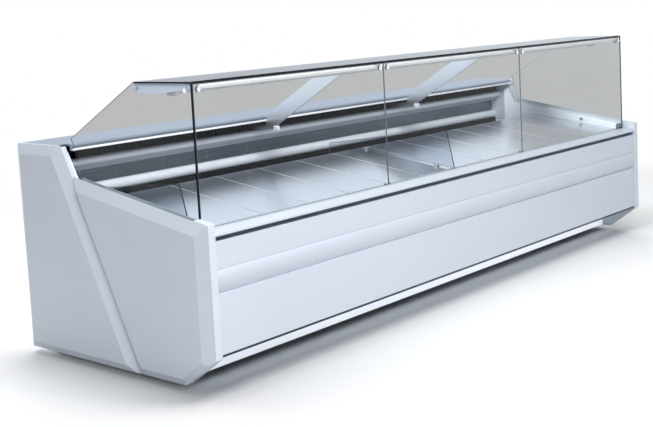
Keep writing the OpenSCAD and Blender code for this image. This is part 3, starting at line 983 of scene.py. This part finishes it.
def control_screws(bm):
    """Four screws at the box's corners, and the collar around the defrost button."""
    for dx in (-112, 112):
        for dz in (-34, 34):
            dome(bm, (CONTROL_X + dx, control_y, CONTROL_Z + dz), (0, 1, 0), 3.6, 1.6)
    inner, outer = 7.9, 11.5
    collar = [
        (inner, -1),
        (outer, -1),
        (outer, 1.4),
        (outer - 1.1, 2.4),
        (inner + 0.7, 2.4),
        (inner, 1.6),
        (inner, -1),
    ]
    lathe(bm, collar, (CONTROL_X + 76, control_y, CONTROL_Z), (0, 1, 0), 32)


def switch_frame(bm):
    rim(
        bm,
        (SWITCH_X - 17, SWITCH_X + 17),
        (control_y - 0.3, control_y + 1.2),
        (CONTROL_Z - CONTROL_HALF_H, CONTROL_Z + CONTROL_HALF_H),
        4,
        3.6,
    )


piece("display_bezel", control_trim, "fan", edge=0.8, segments=3)
piece("display_window", control_window, "screen", edge=0.5)
piece("display_digits", control_digits, "led", edge=0.12)
piece("control_box_screws", control_screws, "chrome")
piece("switch_frame", switch_frame, "black", edge=0.7, segments=3)

# --- canopy lamp

lamp_lo, lamp_hi = local("canopy_lamp")


def lamp_holders(bm):
    """End pieces with the lamp's own section, which hold it at both ends."""
    outline = [(145, 1221.9), (205, 1216), (201, 1201), (190, 1198), (160, 1199), (149, 1203)]
    for x0, x1 in ((lamp_lo.x - 22, lamp_lo.x + 1), (lamp_hi.x - 1, lamp_hi.x + 22)):
        prism(bm, outline, x0, x1)


piece("lamp_end_holders", lamp_holders, "lip", edge=2.0, segments=3)

# --- condensing unit and evaporator

cond_lo, cond_hi = local("condenser")
motor_lo, motor_hi = local("condenser_fan_motor")
FAN_X = (motor_lo.x + motor_hi.x) / 2
FAN_Z = 235  # the fan's shaft
SHROUD_R = 132  # outer face of its wall
CORNERS = [math.radians(45 + 90 * k) for k in range(4)]
BEND_ANGLES = [math.radians(15 * k) for k in range(13)]  # half a turn


def spoke(angle, radii, y):
    """Points at several radii on a line out from the fan's shaft."""
    return [
        (FAN_X + r * math.cos(angle), y, FAN_Z + r * math.sin(angle)) for r in radii
    ]


def fan_shroud(bm):
    """A ring with a rolled edge, on four short arms."""
    wall = [
        (SHROUD_R - 2.5, 0),
        (SHROUD_R - 2.5, 44),
        (SHROUD_R + 1, 47),
        (SHROUD_R + 5, 47),
        (SHROUD_R + 5, 44.5),
        (SHROUD_R, 44),
        (SHROUD_R, 0),
        (SHROUD_R - 2.5, 0),
    ]
    lathe(bm, wall, (FAN_X, 944, FAN_Z), (0, 1, 0), 64)
    for angle in CORNERS:
        tube(bm, spoke(angle, (134, 146, 158), 986), 4)


piece("condenser_fan_shroud", fan_shroud, "unit")


def fan_guard(bm):
    """Five wire rings on four spokes."""
    turn = circle(48)
    turn.append(turn[0])
    for r in (40, 62, 84, 106, 126):
        tube(bm, [(FAN_X + r * c, 987, FAN_Z + r * s) for c, s in turn], 1.3, 6)
    for angle in CORNERS:
        tube(bm, spoke(angle, (30, 80, 131), 989), 1.5, 6)


piece("condenser_fan_guard", fan_guard, "chrome")


def return_bends(bm):
    """Upright return bends: three on the right and two, half a pitch up, on the left."""
    r, depth, y = 25, 18, 1025
    for side, x, count, first in ((1, cond_hi.x - 3, 3, 110), (-1, cond_lo.x + 3, 2, 160)):
        for k in range(count):
            z = first + 100 * k + r
            bend = [
                (x + side * depth * math.sin(a), y, z - r * math.cos(a)) for a in BEND_ANGLES
            ]
            tube(bm, bend, 5.4)


def evaporator_bends(bm):
    """Level return bends: four on the right and two, half a pitch back, on the left."""
    lo, hi = local("evaporator")
    r, depth = 30, 20
    for side, x, starts in ((1, hi.x - 2, (340, 460)), (-1, lo.x + 2, (400,))):
        for y in starts:
            for z in (530, 590):
                bend = [
                    (x + side * depth * math.sin(a), y + r - r * math.cos(a), z)
                    for a in BEND_ANGLES
                ]
                tube(bm, bend, 6.3)


piece("condenser_bends", return_bends, "copper")
piece("evaporator_bends", evaporator_bends, "copper")

comp_lo, comp_hi = local("compressor")
COMP_X, COMP_Y = (comp_lo.x + comp_hi.x) / 2, 700
COMP_BASE = 66


def compressor_seam(bm):
    """The welded seam around the shell, and the terminal cap on its top."""
    seam = [(84.5, 148), (87.5, 149), (89, 152), (89, 156), (87.5, 159), (84.5, 160)]
    lathe(bm, seam, (COMP_X, COMP_Y, COMP_BASE), (0, 0, 1), 48)
    cap = [(0, 0), (16, 0), (16, 6), (12, 9), (0, 9)]
    lathe(bm, cap, (COMP_X + 10, COMP_Y, COMP_BASE + 187), (0, 0, 1), 24)


piece("compressor_seam", compressor_seam, "unit")


def compressor_lines(bm):
    """The thin discharge line, the thicker suction line and the four mounting nuts."""
    x, y = COMP_X, COMP_Y
    discharge = [
        (x - 84, y + 20, 180),
        (x - 104, y + 20, 182),
        (x - 122, y + 26, 196),
        (x - 128, y + 60, 214),
        *((x - 128, y + 60 + 30 * k, 214) for k in range(1, 7)),
    ]
    suction = [
        (x + 70, y - 52, 176),
        (x + 96, y - 66, 176),
        (x + 108, y - 90, 190),
        (x + 108, y - 100, 230),
        *((x + 108, y - 100, 230 + 30 * k) for k in range(1, 6)),
    ]
    tube(bm, discharge, 4.8)
    tube(bm, suction, 6.2)
    nut_z, nut_r = COMP_BASE + 19.5, 99
    for angle in CORNERS:
        nut = (x + nut_r * math.cos(angle), y + nut_r * math.sin(angle), nut_z)
        dome(bm, nut, (0, 0, 1), 7, 4)


piece("compressor_lines", compressor_lines, "copper")


def grille_screws(bm):
    """Two rows of three screws around the rear grille."""
    lo, hi = local("rear_grille")
    for x in (lo.x + 15, (lo.x + hi.x) / 2, hi.x - 15):
        for z in (lo.z + 15, hi.z - 15):
            dome(bm, (x, hi.y, z), (0, 1, 0), 4.4, 2.4, washer=6.5)


piece("grille_screws", grille_screws, "chrome")


def gland_rim(bm):
    lo, hi = local("power_gland")
    x, z = (lo.x + hi.x) / 2, (lo.z + hi.z) / 2
    inner, outer = 5.4, 7.9
    lip = [(inner, 0), (outer, 0), (outer, 2.4), (outer - 0.7, 3.2), (inner, 3.2), (inner, 0)]
    lathe(bm, lip, (x, hi.y - 0.4, z), (0, 1, 0), 24)


piece("gland_rim", gland_rim, "rubber")

# ---------------------------------------------------------------- camera, light and floor

# The camera's place in metres, its turn from straight ahead, its lens in mm
# and the shift that its framing needs, as a share of the picture's width
CAMERA_AT = (-4.908, -3.907, 1.543)
YAW, PITCH, ROLL = (math.radians(a) for a in (-48.842, -6.172, -2.928))
LENS = 61.94
SHIFT = (-0.0012, -0.1234)

forward = Vector(
    (
        math.sin(-YAW) * math.cos(PITCH),
        math.cos(-YAW) * math.cos(PITCH),
        math.sin(PITCH),
    )
)
level = forward.cross(Vector((0, 0, 1))).normalized()
above = level.cross(forward)
side = math.cos(ROLL) * level + math.sin(ROLL) * above
top = -math.sin(ROLL) * level + math.cos(ROLL) * above
camera_data = bpy.data.cameras.new("camera")
camera_data.sensor_width = 36
camera_data.lens = LENS
camera_data.shift_x, camera_data.shift_y = SHIFT
camera_data.clip_start, camera_data.clip_end = 0.1, 100
camera = bpy.data.objects.new("camera", camera_data)
camera.matrix_world = Matrix.Translation(CAMERA_AT) @ Matrix(
    (side, top, -forward)
).transposed().to_4x4()
bpy.context.scene.collection.objects.link(camera)
bpy.context.scene.camera = camera

# A pale disc, which fades into the white sweep towards its rim
FLOOR_R = 5.2
floor_mesh = bpy.data.meshes.new("floor")
bm = bmesh.new()
bmesh.ops.create_circle(bm, cap_ends=True, segments=96, radius=FLOOR_R)
bm.to_mesh(floor_mesh)
bm.free()
floor = bpy.data.objects.new("floor", floor_mesh)
bpy.context.scene.collection.objects.link(floor)
g = Graph(bpy.data.materials.new("studio_floor"))
coords = g.node("TexCoord").outputs["Object"]
distance = g.node("VectorMath", {0: coords}, operation="LENGTH").outputs["Value"]
fade = g.node(
    "MapRange",
    {"Value": distance, "From Min": FLOOR_R * 0.72, "From Max": FLOOR_R * 0.99},
    interpolation_type="SMOOTHSTEP",
).outputs["Result"]
pale = g.principled(
    Base_Color=g.shades(g.noise(1.1, 2), (0.86, 0.86, 0.86), 0.006),
    Roughness=0.6,
    Specular_IOR_Level=0.2,
)
clear = g.node("BsdfTransparent").outputs[0]
shader = g.node("MixShader", {0: fade, 1: pale, 2: clear}).outputs[0]
floor_mesh.materials.append(g.finish(shader))


def receivers(name, thing, state="INCLUDE"):
    """A lamp's list of what it lights: only the thing, or with EXCLUDE all but it."""
    group = bpy.data.collections.new(name)
    group.objects.link(thing)
    group.collection_objects[0].light_linking.link_state = state
    return group


FLOOR_ONLY = receivers("floor_only", floor)
NOT_FLOOR = receivers("not_floor", floor, "EXCLUDE")
KICK_ONLY = receivers("kick_only", nodes["kick_plate"])
WALLS_ONLY = receivers("walls_only", nodes["end_liners"])


def softbox(name, place, aim, size, power, lights=NOT_FLOOR):
    """A rectangular area lamp at place that faces aim, in metres and watts."""
    data = bpy.data.lights.new(name, "AREA")
    data.shape = "RECTANGLE"
    data.size, data.size_y = size
    data.energy = power
    lamp_object = bpy.data.objects.new(name, data)
    lamp_object.location = place
    lamp_object.rotation_mode = "QUATERNION"
    lamp_object.rotation_quaternion = (Vector(aim) - Vector(place)).to_track_quat("-Z", "Y")
    lamp_object.visible_glossy = False
    lamp_object.light_linking.receiver_collection = lights
    lamp_object.visible_camera = False
    lamp_object.visible_transmission = False
    bpy.context.scene.collection.objects.link(lamp_object)


softbox("key_light", (-3.0, -3.4, 4.8), (-1.2, 0, 0.5), (3.0, 2.0), 400)
softbox("low_light", (1.5, -7.0, 1.0), (0.5, 0, 0.5), (6.0, 1.0), 35)
softbox("back_light", (0.3, 3.6, 2.6), (0, 0.0, 0.6), (5.0, 1.6), 500)
softbox("floor_light", (-0.6, -0.5, 4.6), (-0.4, -0.4, 0), (6.0, 1.8), 330, FLOOR_ONLY)
softbox("floor_left", (-8.5, 7.0, 4.0), (-8.0, 6.5, 0), (7.0, 7.0), 450, FLOOR_ONLY)
softbox("floor_right", (7.0, 7.0, 4.0), (6.0, 6.0, 0), (8.0, 8.0), 700, FLOOR_ONLY)
softbox("kick_light", (0.5, -5.0, 0.35), (0.2, -0.3, 0.05), (6.0, 0.5), 175, KICK_ONLY)
softbox("wall_light", (-2.2, -1.6, 3.0), (1.8, 0.0, 0.8), (1.5, 1.5), 75, WALLS_ONLY)

sky = Graph(bpy.data.worlds.new("studio"))
bpy.context.scene.world = sky.owner


def flat_light(colour, strength):
    inputs = {"Color": (*colour, 1), "Strength": strength}
    return sky.node("Background", inputs).outputs[0]


# Surfaces are lit by a soft grey room. Glossy ones mirror a bright room, glass
# lets a dimmer one through, and the camera sees a white sweep.
path = sky.node("LightPath")
shader = flat_light((0.96, 0.98, 1.0), 0.18)
for ray, seen in (
    ("Is Glossy Ray", flat_light((0.87, 0.93, 1.0), 1.15)),
    ("Is Transmission Ray", flat_light((1.0, 1.0, 1.0), 0.50)),
    ("Is Camera Ray", flat_light((1.0, 1.0, 1.0), 1.0)),
):
    shader = sky.node("MixShader", {0: path.outputs[ray], 1: shader, 2: seen}).outputs[0]
sky.finish(shader, "OutputWorld")

bpy.context.scene.view_settings.view_transform = "Standard"
bpy.context.scene.view_settings.look = "None"
